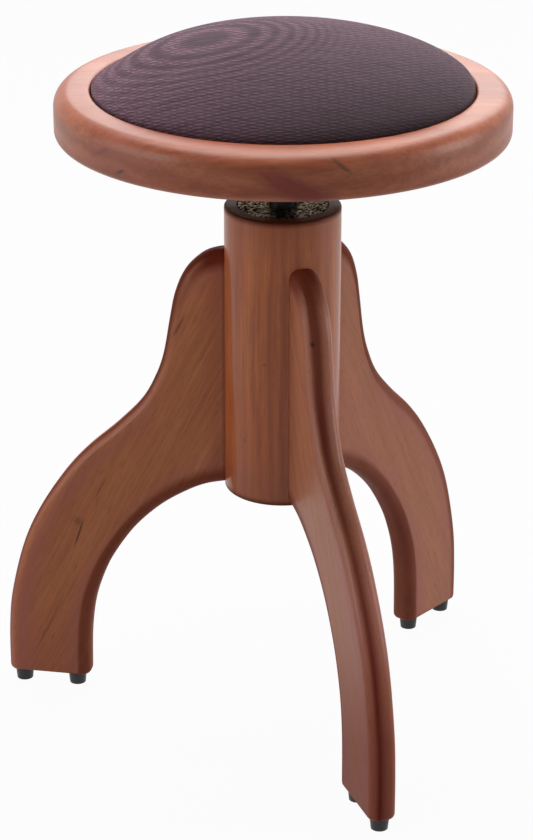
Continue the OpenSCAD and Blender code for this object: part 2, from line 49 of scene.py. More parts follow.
def sourceNode(value):
    first = value[0] if isinstance(value, tuple) else value
    return first if isinstance(first, bpy.types.Node) else None


def join(source, toNode, toSocket=0):
    fromNode, fromSocket = source if isinstance(source, tuple) else (source, 0)
    toNode.id_data.links.new(fromNode.outputs[fromSocket], toNode.inputs[toSocket])


def addNode(tree, kind, values=None, **settings):
    # each value is a source, which is joined to its socket, or what its socket is set to
    newNode = tree.nodes.new(kind)
    for key, value in settings.items():
        setattr(newNode, key, value)
    for key, value in (values or {}).items():
        if sourceNode(value):
            join(value, newNode, key)
        else:
            newNode.inputs[key].default_value = value
    return newNode


def after(kind, values, **settings):
    # a node that stands in the tree of its first source
    first = next(filter(None, map(sourceNode, values.values())))
    return addNode(first.id_data, "ShaderNode" + kind, values, **settings)


def mathNode(operation, *operands):
    return (after("Math", dict(enumerate(operands)), operation=operation), 0)


def times(first, second):
    return mathNode("MULTIPLY", first, second)


def mixColors(share, first, second):
    values = {0: share}
    for socket, color in ((6, first), (7, second)):
        values[socket] = color if sourceNode(color) else (*color, 1)
    return (after("Mix", values, data_type="RGBA"), 2)


def colorRamp(source, stops):
    ramp = after("ValToRGB", {0: source})
    elements = ramp.color_ramp.elements
    while len(elements) > 1:
        elements.remove(elements[-1])
    elements[0].position, elements[0].color = stops[0][0], (*stops[0][1], 1)
    for position, color in stops[1:]:
        elements.new(position).color = (*color, 1)
    return (ramp, 0)


def mapRange(source, low, high, toLow=0.0, toHigh=1.0, smooth=True):
    return (after("MapRange", {0: source, 1: low, 2: high, 3: toLow, 4: toHigh},
                  interpolation_type="SMOOTHSTEP" if smooth else "LINEAR"), 0)


def tinted(color, source, low, high, share, tint):
    return mixColors(mapRange(source, low, high, 0, share), color, tint)


def placed(source, scale=(1, 1, 1), turn=(0, 0, 0), shift=(0, 0, 0)):
    return (after("Mapping", {"Vector": source, "Scale": scale, "Location": shift,
                              "Rotation": [math.radians(a) for a in turn]}), 0)


def noise(source, scale, detail=2.0, roughness=0.5, distortion=0.0):
    return (after("TexNoise", {"Vector": source, "Scale": scale, "Detail": detail,
                               "Roughness": roughness, "Distortion": distortion}), 0)


def coordinate(source, axis):
    return (after("SeparateXYZ", {0: source}), axis)


def vectorLength(source):
    return (after("VectorMath", {0: source}, operation="LENGTH"), "Value")


def objectPlace(tree):
    return (addNode(tree, "ShaderNodeTexCoord"), "Object")


def attribute(tree, name, socket="Fac"):
    return (addNode(tree, "ShaderNodeAttribute", attribute_name=name), socket)


def emptyTree(holder):
    holder.use_nodes = True
    holder.node_tree.nodes.clear()
    return holder.node_tree


def startMaterial(name, roughness=0.5, metallic=0.0, **sockets):
    material = bpy.data.materials.new(name)
    tree = emptyTree(material)
    values = {"Roughness": roughness, "Metallic": metallic}
    values.update({label.replace("_", " "): value for label, value in sockets.items()})
    shader = addNode(tree, "ShaderNodeBsdfPrincipled", values)
    after("OutputMaterial", {0: shader})
    return material, tree, shader


def finishShader(shader, look, color, relief, rough=None):
    join(color, shader, "Base Color")
    if rough:
        join(rough, shader, "Roughness")
    bump = after("Bump", {"Strength": look["bump"], "Distance": look["bumpDepth"], "Height": relief})
    join(bump, shader, "Normal")


# where most values of a noise lie
noiseReach = (0.3, 0.7)


def roughAbout(source, middle, look):
    # roughness that wanders about a middle value
    low, high = look["roughSpread"]
    return mapRange(source, *noiseReach, middle + low, middle + high)


# Stained and lacquered wood; the grain runs along the third coordinate that it reads

woodFigure = {
    # each noise: its stretch along the grain, scale, detail and roughness
    "noises": {"tone": (0.2, 24, 3, 0.5), "cloud": (0.6, 14, 2, 0.5), "fibre": (0.04, 560, 3, 0.6),
               "streak": (0.035, 260, 3, 0.6), "pore": (0.06, 1350, 1, 0.5)},
    "rings": {"Distortion": 5.5, "Detail": 3.0, "Detail Scale": 1.2, "Detail Roughness": 0.6},
    "ringStretch": 0.22, "toneShare": 0.3, "fibreShare": 0.3, "streakShare": 0.4, "figureRange": (0.26, 0.76),
    "patchRange": (0.45, 0.68), "poreRange": (0.6, 0.7), "poreShare": 0.3, "thinStain": 0.75,
    "knotNoise": 2.2, "knotWobble": 0.7, "knotCore": 0.25, "roughSpread": (-0.05, 0.06),
    "fibreRelief": 0.5, "bump": 0.12, "bumpDepth": 0.0003,
}


def woodMaterial(name, look):
    wood = woodFigure
    material, tree, shader = startMaterial(
        name, roughness=look["roughness"], Specular_IOR_Level=look["gloss"], Coat_Weight=look["coat"],
        Coat_Roughness=look["coatRoughness"])
    if "attribute" in look:
        source = attribute(tree, look["attribute"], "Vector")
    else:
        source = objectPlace(tree)
        for turn in look.get("boardTurns", ()):
            source = placed(source, turn=turn)
    # growth rings cut at a slant, slow changes of tone, fine fibres and short pores
    ringPlace = placed(source, scale=(1, 1, wood["ringStretch"]), turn=look["ringTurn"],
                       shift=look["ringShift"])
    rings = after("TexWave", {"Vector": ringPlace, "Scale": look["ringScale"], **wood["rings"]},
                  wave_type="RINGS", rings_direction="Z", wave_profile="SIN")
    tone, cloud, fibre, streak, pore = (
        noise(placed(source, scale=(1, 1, stretch)), scale, detail, roughness)
        for stretch, scale, detail, roughness in wood["noises"].values())
    total = times((rings, 1), look["ringShare"])
    for part, share in ((tone, "toneShare"), (fibre, "fibreShare"), (streak, "streakShare")):
        total = mathNode("ADD", total, times(part, wood[share]))
    low, high = wood["figureRange"]
    figure = mapRange(total, low + look["ringShare"] * 0.25, high + look["ringShare"] * 0.75)
    color = colorRamp(figure, look["tones"])
    # warmer and redder patches
    color = tinted(color, cloud, *wood["patchRange"], look["patchShare"], look["patch"])
    dots = mapRange(pore, *wood["poreRange"], 0, wood["poreShare"])
    color = mixColors(dots, color, look["dark"])
    stainAndShade = 0.0
    # darker along rounded edges, partly stain and partly painted shade, and a paler rim beside them, each
    # carried by an attribute
    if "edge" in look:
        uneven = mapRange(tone, *noiseReach, wood["thinStain"], 1.0)
        stainAndShade = times(attribute(tree, "edgeShade"), uneven)
        rim = times(attribute(tree, "rimShade"), look["rim"])
        color = mixColors(rim, color, look["rimColor"])
        color = mixColors(times(stainAndShade, look["edge"]), color, look["edgeColor"])
    # darker along the joint with the column: a wide band of painted shade in the corner between leg and
    # column, and a dark joint line: radius, width and share
    for radius, width, share in look.get("joints", ()):
        away = vectorLength(placed(objectPlace(tree), scale=(1, 1, 0)))
        line = mapRange(away, radius, radius + width, share, 0)
        color = mixColors(line, color, look["edgeColor"])
    # darker towards the ends, partly stain and partly painted shade, at the column's top under the seat and
    # at the front leg's foot: two heights, how far it reaches, its share and colour
    for low, high, reach, share, tintColor in look.get("ends", ()):
        height = coordinate(source, 2)
        nearEnd = mathNode("MAXIMUM", mapRange(height, low, low + reach, share, 0),
                           mapRange(height, high - reach, high, 0, share))
        color = mixColors(nearEnd, color, tintColor)
        if share > look["dullFrom"]:
            stainAndShade = mathNode("MAXIMUM", nearEnd, stainAndShade)
    # knots and streaks: place, half width, half length, tilt off the grain, strength, and any own colour
    for place, radius, length, tilt, strength, *tintColor in look.get("knots", ()):
        near = after("Mapping", {"Vector": source, "Location": place, "Scale": (radius, length, length),
                                 "Rotation": (0, math.radians(tilt), 0)}, vector_type="TEXTURE")
        ragged = noise(near, wood["knotNoise"])[0]
        wobble = after("VectorMath", {0: (ragged, 1), "Scale": wood["knotWobble"]}, operation="SCALE")
        moved = after("VectorMath", {0: near, 1: wobble}, operation="ADD")
        middle = -wood["knotWobble"] / 2
        reach = vectorLength(placed(moved, shift=(middle, middle, middle)))
        share = mapRange(reach, wood["knotCore"], 1.0, strength, 0.0)
        color = mixColors(share, color, tintColor[0] if tintColor else look["dark"])
    rough = roughAbout(streak, look["roughness"], wood)
    if stainAndShade:
        # where the stain and the painted shade lie thick, the wood is duller
        rough = mathNode("MULTIPLY_ADD", stainAndShade, look["edgeRough"], rough)
        for label, shine in (("Specular IOR Level", look["gloss"]), ("Coat Weight", look["coat"])):
            dull = mapRange(stainAndShade, 0, 1, shine, shine * look["edgeShine"], smooth=False)
            join(dull, shader, label)
    relief = mathNode("SUBTRACT", times(fibre, wood["fibreRelief"]), dots)
    finishShader(shader, wood, color, relief, rough)
    return material


woodLooks = {
    "column": {
        "tones": [(0.0, (0.215, 0.037, 0.006)), (0.35, (0.330, 0.075, 0.014)), (0.7, (0.430, 0.113, 0.024)),
                  (1.0, (0.518, 0.161, 0.040))],
        "patch": (0.372, 0.066, 0.009), "patchShare": 0.35, "dark": (0.052, 0.018, 0.010),
        "ringScale": 30, "ringShare": 0.1, "ringTurn": (4, 0, 0), "ringShift": (0.06, 0.02, 0),
        "gloss": 0.24, "coat": 0.36, "coatRoughness": 0.12, "roughness": 0.38,
        # both ends of the column darker: partly stain, and painted shade at the top end and the top face,
        # under the seat
        "ends": [(0.185, 0.408, 0.045, 0.6, (0.245, 0.052, 0.012)),
                 (0.185, 0.408, 0.006, 0.9, (0.050, 0.009, 0.003))],
        "dullFrom": 0.8, "edgeShine": 0.1, "edgeRough": 0.25,
        "knots": [((-0.0266, -0.0338, 0.2978), 0.0014, 0.0014, 0, 0.7),
                  ((-0.0371, -0.0217, 0.2347), 0.001, 0.002, 0, 0.5)],
    },
    "leg": {
        "attribute": "grainPlace",
        "tones": [(0.0, (0.299, 0.086, 0.030)), (0.35, (0.388, 0.122, 0.043)), (0.7, (0.464, 0.153, 0.059)),
                  (1.0, (0.539, 0.197, 0.081))],
        "patch": (0.404, 0.093, 0.062), "patchShare": 0.4, "dark": (0.040, 0.014, 0.010),
        "ringScale": 26, "ringShare": 0.07, "ringTurn": (7, 4, 0), "ringShift": (0.05, 0.05, 0),
        "gloss": 0.16, "coat": 0.18, "coatRoughness": 0.2, "roughness": 0.42,
        "rim": 0.75, "rimColor": (0.350, 0.105, 0.085),
        "edge": 0.92, "edgeColor": (0.115, 0.014, 0.005), "edgeShine": 0.2, "edgeRough": 0.25,
        # a wide band of painted shade in the corner by the column, and a narrow dark joint line
        "joints": [(0.0432, 0.024, 0.34), (0.0432, 0.0026, 0.6)],
        "knots": [((0.2008, 0.8103, 0.0486), 0.0013, 0.019, 9, 0.8),
                  ((0.2062, 0.8103, 0.0575), 0.005, 0.005, 0, 0.4),
                  ((0.2029, 0.8103, 0.0929), 0.0012, 0.015, 0, 0.45),
                  ((0.1872, 0.8103, -0.0350), 0.0014, 0.042, 2, 0.35),
                  ((0.2092, 0.8103, 0.2425), 0.0019, 0.015, 0, 0.55),
                  ((0.2217, -0.0078, 0.2557), 0.0026, 0.0036, 0, 0.9)],
    },
    "ring": {
        "boardTurns": ((0, 0, 19.8), (0, 90, 0)),
        "tones": [(0.0, (0.208, 0.040, 0.012)), (0.35, (0.293, 0.070, 0.023)), (0.7, (0.366, 0.101, 0.041)),
                  (1.0, (0.439, 0.137, 0.064))],
        "patch": (0.307, 0.083, 0.058), "patchShare": 0.5, "dark": (0.055, 0.020, 0.013),
        "ringScale": 22, "ringShare": 0.16, "ringTurn": (9, 3, 0), "ringShift": (0.03, 0.05, 0),
        "gloss": 0.27, "coat": 0.23, "coatRoughness": 0.32, "roughness": 0.42,
        "knots": [((0.4715, -0.1213, 0.1118), 0.0018, 0.0062, -35, 0.85),
                  ((0.4810, -0.1065, 0.1260), 0.0026, 0.014, -35, 0.35),
                  ((0.4887, -0.1607, -0.0376), 0.0022, 0.013, 38, 0.7),
                  ((0.4789, -0.1650, -0.0036), 0.002, 0.015, 30, 0.35),
                  ((0.4900, -0.0794, 0.1446), 0.004, 0.007, 0, 0.25),
                  ((0.4730, -0.1650, -0.0080), 0.013, 0.042, 24, 0.85, (0.165, 0.010, 0.003))],
    },
}
# the front and the right leg are of a pinker, plainer board than the left one
woodLooks["paleLeg"] = dict(
    woodLooks["leg"], patch=(0.410, 0.128, 0.096), patchShare=0.5,
    tones=[(0.0, (0.335, 0.114, 0.056)), (0.35, (0.385, 0.137, 0.067)), (0.7, (0.430, 0.156, 0.078)),
           (1.0, (0.475, 0.180, 0.092))])
# the front leg is painted darker towards its foot, painted shade where less light reaches it, and duller
# there
woodLooks["frontLeg"] = dict(woodLooks["paleLeg"], dullFrom=0.5,
                             ends=[(-0.05, 1.0, 0.13, 0.55, (0.160, 0.014, 0.008))])


# The cover: a ribbed plain weave with slubs

fabricLook = {
    "roughness": 0.86, "gloss": 0.2, "sheen": 0.16, "sheenRoughness": 0.45, "sheenTint": (0.80, 0.66, 0.74),
    "turn": 20, "waver": 0.0012, "ribPitch": 0.0013, "warpPitch": 0.0011,
    "tones": [(0.15, (0.020, 0.007, 0.011)), (0.6, (0.046, 0.020, 0.029)), (1.0, (0.072, 0.033, 0.046))],
    "patch": (0.055, 0.028, 0.034), "patchShare": 0.35, "pale": (0.125, 0.075, 0.098), "threadShare": 0.22,
    "fuzzShare": 0.16, "fuzzRelief": 0.25, "bump": 0.42, "bumpDepth": 0.0005,
    "bendScale": 16, "fuzzScale": 2600, "toneScale": 30, "threadScale": 420, "threadStretch": 0.05,
    "slubScale": 150, "slubStretch": 0.5, "overWidth": 0.25, "patchRange": (0.35, 0.7),
    "threadRange": (0.42, 0.62), "fuzzRange": (0.55, 0.75),
    "rowTurns": ((0, 0, 19.83), (22.9, 0, 0)), "rowPitch": 0.0025, "rowWaver": 0.0012,
    "dashLength": 0.006, "dashWaver": 0.012, "dashShare": 0.78, "dashDark": (0.012, 0.003, 0.007),
    "rippleShift": (0.056, -0.003), "rippleRadius": 0.036, "rippleShare": 0.9, "rippleEnd": 0.15,
    "paintedLightTurn": -19.67, "paintedLightReach": (-0.14, 0.14), "paintedLightTones": (0.36, 2.6),
}


def fabricMaterial(look):
    material, tree, shader = startMaterial(
        "coverFabric", roughness=look["roughness"], Specular_IOR_Level=look["gloss"],
        Sheen_Weight=look["sheen"], Sheen_Roughness=look["sheenRoughness"],
        Sheen_Tint=(*look["sheenTint"], 1))

    def wave(kind, source, length):
        return mathNode(kind, times(source, 2 * math.pi / length))

    turned = placed(attribute(tree, "clothPlace", "Vector"), turn=(0, 0, look["turn"]))
    bend = noise(turned, look["bendScale"], 1)
    waver = times(mathNode("SUBTRACT", bend, 0.5), look["waver"])
    # ribs of the plain weave: thick threads one way, thin threads over and under them the other way
    across, along = (mathNode("ADD", coordinate(turned, axis), waver) for axis in (0, 1))
    warpSine = wave("SINE", across, 2 * look["warpPitch"])
    weftSine = wave("SINE", along, 2 * look["ribPitch"])
    warp, weft = mathNode("ABSOLUTE", warpSine), mathNode("ABSOLUTE", weftSine)
    over = mapRange(times(warpSine, weftSine), -look["overWidth"], look["overWidth"])
    picked = after("Mix", {0: over, 2: weft, 3: warp}, data_type="FLOAT")
    height = mathNode("ADD", times(picked, 0.5), times(weft, 0.5))
    fuzz = noise(turned, look["fuzzScale"])
    tone = noise(turned, look["toneScale"], 3)
    thread = noise(placed(turned, scale=(look["threadStretch"], 1, 1)), look["threadScale"])
    color = colorRamp(height, look["tones"])
    color = tinted(color, tone, *look["patchRange"], look["patchShare"], look["patch"])
    # slubs in rows: short light and dark dashes, staggered from row to row like bricks
    level = objectPlace(tree)
    for turn in look["rowTurns"]:
        level = placed(level, turn=turn)
    uneven = noise(placed(level, scale=(look["slubStretch"], 1, 1)), look["slubScale"])
    shifted = mathNode("MULTIPLY_ADD", uneven, look["rowWaver"], coordinate(level, 2))
    slid = mathNode("MULTIPLY_ADD", uneven, look["dashWaver"], coordinate(level, 0))
    dash = times(wave("SINE", shifted, look["rowPitch"]), wave("SINE", slid, 2 * look["dashLength"]))
    color = mixColors(mapRange(dash, -1, 0, look["dashShare"], 0), color, look["dashDark"])
    color = tinted(color, dash, 0, 1, look["dashShare"], look["pale"])
    # a watered figure of rings that crowd outwards
    flat = placed(level, turn=(-look["rowTurns"][1][0], 0, 0))
    away = vectorLength(placed(flat, scale=(1, 1, 0), shift=(*look["rippleShift"], 0)))
    phase = mathNode("POWER", mathNode("DIVIDE", away, look["rippleRadius"]), 2.0)
    reach = mapRange(away, look["rippleRadius"], look["rippleEnd"], look["rippleShare"], 0)
    ripple = times(mapRange(wave("COSINE", phase, 1), -1, 1), reach)
    color = mixColors(ripple, color, look["dashDark"])
    color = tinted(color, thread, *look["threadRange"], look["threadShare"], look["pale"])
    color = tinted(color, fuzz, *look["fuzzRange"], look["fuzzShare"], look["pale"])
    # painted light and shade: the cover is painted paler towards the back left, where the light falls from,
    # and darker towards the front right: one slow change of tone right across it
    turnedPlace = placed(objectPlace(tree), turn=(0, 0, look["paintedLightTurn"]))
    paintedLight = mapRange(coordinate(turnedPlace, 1), *look["paintedLightReach"], *look["paintedLightTones"], smooth=False)
    paintedLitColor = after("VectorMath", {0: color, "Scale": paintedLight}, operation="SCALE")
    relief = mathNode("ADD", height, times(fuzz, look["fuzzRelief"]))
    finishShader(shader, look, paintedLitColor, relief)
    return material


# Metal, black plastic, nylon and plywood

speckledLooks = {
    # painted shade: the cast zinc under the seat gets a nearly black base with only some pale specks, for the
    # seat's shade on it
    "castZincPaintedDark": {"base": (0.010, 0.007, 0.006), "pale": (0.54, 0.45, 0.36), "dark": (0.004, 0.003, 0.003),
                 "roughness": 0.3, "scale": 760, "spots": 0.85, "bump": 0.35, "bright": (0.3, 1.0),
                 "rim": 0.3},
    "zincScrew": {"base": (0.50, 0.49, 0.45), "pale": (0.62, 0.61, 0.57), "dark": (0.30, 0.28, 0.24),
                  "roughness": 0.34, "scale": 900},
    "nutBrass": {"base": (0.60, 0.42, 0.17), "pale": (0.68, 0.50, 0.23), "dark": (0.30, 0.19, 0.07),
                 "roughness": 0.36, "scale": 600},
}
# what each speckled metal has where its own look doesn't say otherwise
speckledBase = {"spots": 0.35, "spotRange": (0.5, 0.66), "bump": 0.2, "bright": (0.0, 1.0), "rim": 1.0,
                "blotchScale": 0.35, "fineScale": 3.2, "roughSpread": (-0.08, 0.12), "bumpDepth": 0.0003}
steelLook = {"tones": [(0.3, (0.012, 0.012, 0.016)), (0.6, (0.024, 0.023, 0.028)),
                       (0.8, (0.050, 0.044, 0.042))],
             "turningScale": 260, "turningStretch": 12, "smearScale": 38, "roughRange": (0.24, 0.42),
             "roughness": 0.32, "metallic": 0.85, "bump": 0.06, "bumpDepth": 0.0002}
plasticLook = {"scuffScale": 210, "scuffShare": 0.5, "scuffRange": (0.55, 0.75), "grainScale": 1900,
               "gloss": 0.4, "roughSpread": (-0.06, 0.14), "bump": 0.18, "bumpDepth": 0.0002}
plyLook = {"tones": [(0.36, (0.36, 0.22, 0.11)), (0.5, (0.52, 0.36, 0.20)), (0.64, (0.62, 0.46, 0.28))],
           "glue": (0.24, 0.13, 0.06), "fleck": (0.25, 0.14, 0.07), "fleckShare": 0.35,
           "fleckRange": (0.62, 0.72), "pitch": 0.0028, "plyWidth": 0.2, "plyShare": 0.5,
           "uprightRange": (0.3, 0.8), "grainShare": 0.4, "wideShare": 0.6, "roughness": 0.62, "gloss": 0.3,
           # each noise: its stretch along the grain, scale, detail, roughness and distortion
           "noises": {"grain": (0.05, 240, 3, 0.6, 0.0), "wide": (0.14, 34, 3, 0.55, 1.2),
                      "fleck": (0.1, 1300, 1, 0.5, 0.0)},
           "bump": 0.15, "bumpDepth": 0.0003}


def speckledMetal(name):
    look = {**speckledBase, **speckledLooks[name]}
    rim, roughness, scale = look["rim"], look["roughness"], look["scale"]
    material, tree, shader = startMaterial(name, roughness=roughness, metallic=1.0,
                                           Specular_Tint=(rim, rim, rim, 1))
    source = objectPlace(tree)
    cells = after("TexVoronoi", {"Vector": source, "Scale": scale})
    grey = after("SeparateColor", {0: (cells, "Color")})
    blotch = noise(source, scale * look["blotchScale"], 4, 0.65)
    fine = noise(source, scale * look["fineScale"])
    bright = mapRange(grey, *look["bright"], smooth=False)
    color = mixColors(bright, look["base"], look["pale"])
    color = tinted(color, blotch, *look["spotRange"], look["spots"], look["dark"])
    finishShader(shader, look, color, mathNode("ADD", grey, fine), roughAbout(fine, roughness, look))
    return material


def blackenedSteel(look):
    material, tree, shader = startMaterial("blackSteel", look["roughness"], look["metallic"])
    source = objectPlace(tree)
    turning = noise(placed(source, scale=(1, 1, look["turningStretch"])), look["turningScale"])
    color = colorRamp(noise(source, look["smearScale"], 3), look["tones"])
    finishShader(shader, look, color, turning, mapRange(turning, *noiseReach, *look["roughRange"]))
    return material


def plasticMaterial(name, base, pale, roughness, look=plasticLook):
    material, tree, shader = startMaterial(name, roughness, Specular_IOR_Level=look["gloss"])
    source = objectPlace(tree)
    scuff = noise(source, look["scuffScale"], 3, 0.6)
    color = tinted(base, scuff, *look["scuffRange"], look["scuffShare"], pale)
    grain = noise(source, look["grainScale"])
    finishShader(shader, look, color, grain, roughAbout(scuff, roughness, look))
    return material


def plywoodMaterial(look):
    material, tree, shader = startMaterial("plywoodFace", look["roughness"],
                                           Specular_IOR_Level=look["gloss"])
    source = objectPlace(tree)
    grain, wide, fleck = (noise(placed(source, scale=(stretch, 1, 1)), *settings)
                          for stretch, *settings in look["noises"].values())
    total = mathNode("ADD", times(grain, look["grainShare"]), times(wide, look["wideShare"]))
    color = colorRamp(total, look["tones"])
    # the plies show where a face turns upright
    height = times(coordinate(source, 2), 2 * math.pi / look["pitch"])
    facing = (addNode(tree, "ShaderNodeNewGeometry"), "Normal")
    level = mathNode("ABSOLUTE", coordinate(facing, 2))
    upright = mapRange(level, *look["uprightRange"], look["plyShare"], 0)
    plies = mapRange(mathNode("SINE", height), -look["plyWidth"], look["plyWidth"])
    color = mixColors(times(plies, upright), color, look["glue"])
    color = tinted(color, fleck, *look["fleckRange"], look["fleckShare"], look["fleck"])
    finishShader(shader, look, color, grain)
    return material


materials = {name: woodMaterial(name + "Wood", look) for name, look in woodLooks.items()}
materials.update({name: speckledMetal(name) for name in speckledLooks})
materials.update({
    "fabric": fabricMaterial(fabricLook),
    "blackSteel": blackenedSteel(steelLook),
    "glide": plasticMaterial("glidePlastic", (0.012, 0.012, 0.015), (0.05, 0.048, 0.05), 0.42),
    "nylon": plasticMaterial("discNylon", (0.74, 0.73, 0.68), (0.58, 0.57, 0.52), 0.4),
    "plywood": plywoodMaterial(plyLook),
})

nodeFinish = {
    "castZincPaintedDark": ["top_plate", "top_plate_screws", "guide_tube"],
    "zincScrew": ["glide_nails", "stop_washer", "stop_screw", "cover_staples"],
    "nutBrass": ["spindle_nut"],
    "blackSteel": ["spindle", "spindle_hub", "mounting_plate"],
    "glide": [f"glide_{leg}_{side}" for leg in ("left", "front", "right") for side in ("outer", "inner")],
    "nylon": ["guide_disc"],
    "plywood": ["seat_board", "pad_board", "leg_dowels"],
}
for finish, names in nodeFinish.items():
    for name in names:
        for materialSlot in cadNodes[name].material_slots:
            materialSlot.material = materials[finish]
print("materials ready")


# Making and finishing meshes

def newObject(name, content):
    piece = bpy.data.objects.new(name, content)
    scene.collection.objects.link(piece)
    return piece


def evaluated(piece):
    return piece.evaluated_get(bpy.context.evaluated_depsgraph_get())


def smoothMesh(mesh, angle):
    mesh.polygons.foreach_set("use_smooth", [True] * len(mesh.polygons))
    mesh.set_sharp_from_angle(angle=math.radians(angle))


def outwardMesh(mesh, merge=False, fill=False):
    # merges doubles and fills holes where asked, and turns every face outwards
    work = bmesh.new()
    work.from_mesh(mesh)
    if merge:
        bmesh.ops.remove_doubles(work, verts=work.verts, dist=1e-6)
    if fill:
        bmesh.ops.holes_fill(work, edges=[edge for edge in work.edges if edge.is_boundary])
    bmesh.ops.recalc_face_normals(work, faces=work.faces)
    work.to_mesh(mesh)
    work.free()


def setInput(modifier, label, value):
    for item in modifier.node_group.interface.items_tree:
        if item.item_type == "SOCKET" and item.in_out == "INPUT" and item.name == label:
            modifier[item.identifier] = value
            return
    raise ValueError(label)


def newGeometryTree(name, inputs):
    tree = bpy.data.node_groups.new(name, "GeometryNodeTree")
    tree.interface.new_socket("Geometry", in_out="INPUT", socket_type="NodeSocketGeometry")
    tree.interface.new_socket("Geometry", in_out="OUTPUT", socket_type="NodeSocketGeometry")
    for label, kind in inputs:
        tree.interface.new_socket(label, in_out="INPUT", socket_type="NodeSocket" + kind)
    return tree, tree.nodes.new("NodeGroupInput"), tree.nodes.new("NodeGroupOutput")


def endTree(tree, groupIn, groupOut, last):
    realized = addNode(tree, "GeometryNodeRealizeInstances", {0: last})
    finished = addNode(tree, "GeometryNodeSetMaterial",
                       {"Geometry": realized, "Material": (groupIn, "Finish")})
    join(finished, groupOut)


def madeByTree(name, tree, start, values):
    # runs the tree on a starting object and keeps its result as a plain mesh
    scene.collection.objects.link(start)
    modifier = start.modifiers.new("shape", "NODES")
    modifier.node_group = tree
    for label, value in values.items():
        setInput(modifier, label, value)
    bpy.context.view_layer.update()
    mesh = bpy.data.meshes.new_from_object(evaluated(start))
    start.modifiers.remove(modifier)
    bpy.data.objects.remove(start)
    mesh.name = name
    return newObject(name, mesh)


# Turned pieces: a section swept once round the axis

def turnedTree():
    tree, groupIn, groupOut = newGeometryTree(
        "turnedPiece", [("Path Radius", "Float"), ("Segments", "Int"), ("Finish", "Material")])
    circle = addNode(tree, "GeometryNodeCurvePrimitiveCircle",
                     {"Radius": (groupIn, "Path Radius"), "Resolution": (groupIn, "Segments")})
    sweep = addNode(tree, "GeometryNodeCurveToMesh",
                    {"Curve": circle, "Profile Curve": (groupIn, "Geometry")})
    endTree(tree, groupIn, groupOut, sweep)
    return tree


turned = turnedTree()
turnedSharpAngle = 35


def arc(x, z, radius, startAngle, endAngle, steps):
    points = []
    for step in range(steps + 1):
        angle = math.radians(startAngle + (endAngle - startAngle) * step / steps)
        points.append((x + radius * math.cos(angle), z + radius * math.sin(angle)))
    return points


def turnedPiece(name, section, segments, finish):
    # section: (radius, height) points of a closed outline
    pathRadius = sum(point[0] for point in section) / len(section)
    middle = sum(point[1] for point in section) / len(section)
    curve = bpy.data.curves.new(name + "Section", "CURVE")
    curve.dimensions = "3D"
    spline = curve.splines.new("POLY")
    spline.points.add(len(section) - 1)
    for point, (radius, height) in zip(spline.points, section):
        point.co = (radius - pathRadius, middle - height, 0, 1)
    spline.use_cyclic_u = True
    start = bpy.data.objects.new(name + "Section", curve)
    piece = madeByTree(name, turned, start,
                       {"Path Radius": pathRadius, "Segments": segments, "Finish": finish})
    piece.data.transform(Matrix.Translation((0, 0, middle)))
    outwardMesh(piece.data, merge=True)
    smoothMesh(piece.data, turnedSharpAngle)
    return piece


# Seat ring

ringSize = {"edgeRadius": 0.0115, "footRadius": 0.005, "lipRadius": 0.0025, "fall": 0.0005, "rebate": 0.010,
            "width": 0.0265, "segments": 288, "lipSteps": 6, "topSteps": 8, "edgeSteps": 16, "footSteps": 8}


def seatRing():
    size = ringSize
    low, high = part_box("seat_ring")
    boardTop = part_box("seat_board")[1].z
    outer = high.x
    hole = outer - size["width"]
    edge, lip, foot = size["edgeRadius"], size["lipRadius"], size["footRadius"]
    slope = math.degrees(math.atan(2 * size["fall"] / (size["width"] - edge)))
    run = size["width"] - lip - edge * (1 - math.sin(math.radians(slope)))
    section = arc(hole + lip, high.z - lip, lip, 180, 90, size["lipSteps"])
    for step in range(1, size["topSteps"]):
        share = step / size["topSteps"]
        section.append((hole + lip + share * run, high.z - size["fall"] * share * share))
    section += arc(outer - edge, high.z - size["fall"] - edge * math.cos(math.radians(slope)), edge,
                   90 - slope, 0, size["edgeSteps"])
    section += arc(outer - foot, low.z + foot, foot, 0, -90, size["footSteps"])
    section += [(hole + size["rebate"], low.z), (hole + size["rebate"], boardTop), (hole, boardTop)]
    piece = turnedPiece("seatRing", section, size["segments"], materials["ring"])
    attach(piece, "seat")
    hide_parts("seat_ring")
    return piece


ring = seatRing()
print("seat ring:", len(ring.data.polygons), "faces")


# Column

columnSize = {"edgeRadius": 0.002, "edgeSteps": 6, "segments": 192, "boreGap": 0.0001, "plateGap": 0.0003,
              "chamfer": 0.0008}


def column():
    size = columnSize
    low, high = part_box("column")
    plateLow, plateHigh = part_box("top_plate")
    outer = high.x
    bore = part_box("guide_disc")[1].x + size["boreGap"]
    recess = plateHigh.x + size["plateGap"]
    edge, chamfer = size["edgeRadius"], size["chamfer"]
    section = [(bore, low.z), (outer - edge, low.z)]
    section += arc(outer - edge, low.z + edge, edge, -90, 0, size["edgeSteps"])
    section += arc(outer - edge, high.z - edge, edge, 0, 90, size["edgeSteps"])
    section += [(recess + chamfer, high.z), (recess, high.z - chamfer), (recess, plateLow.z),
                (bore, plateLow.z)]
    piece = turnedPiece("turnedColumn", section, size["segments"], materials["column"])
    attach(piece, "stand")
    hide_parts("column")
    return piece


post = column()
print("column:", len(post.data.polygons), "faces")


# Legs: the two edges are smooth curves through shares of the reach and the height

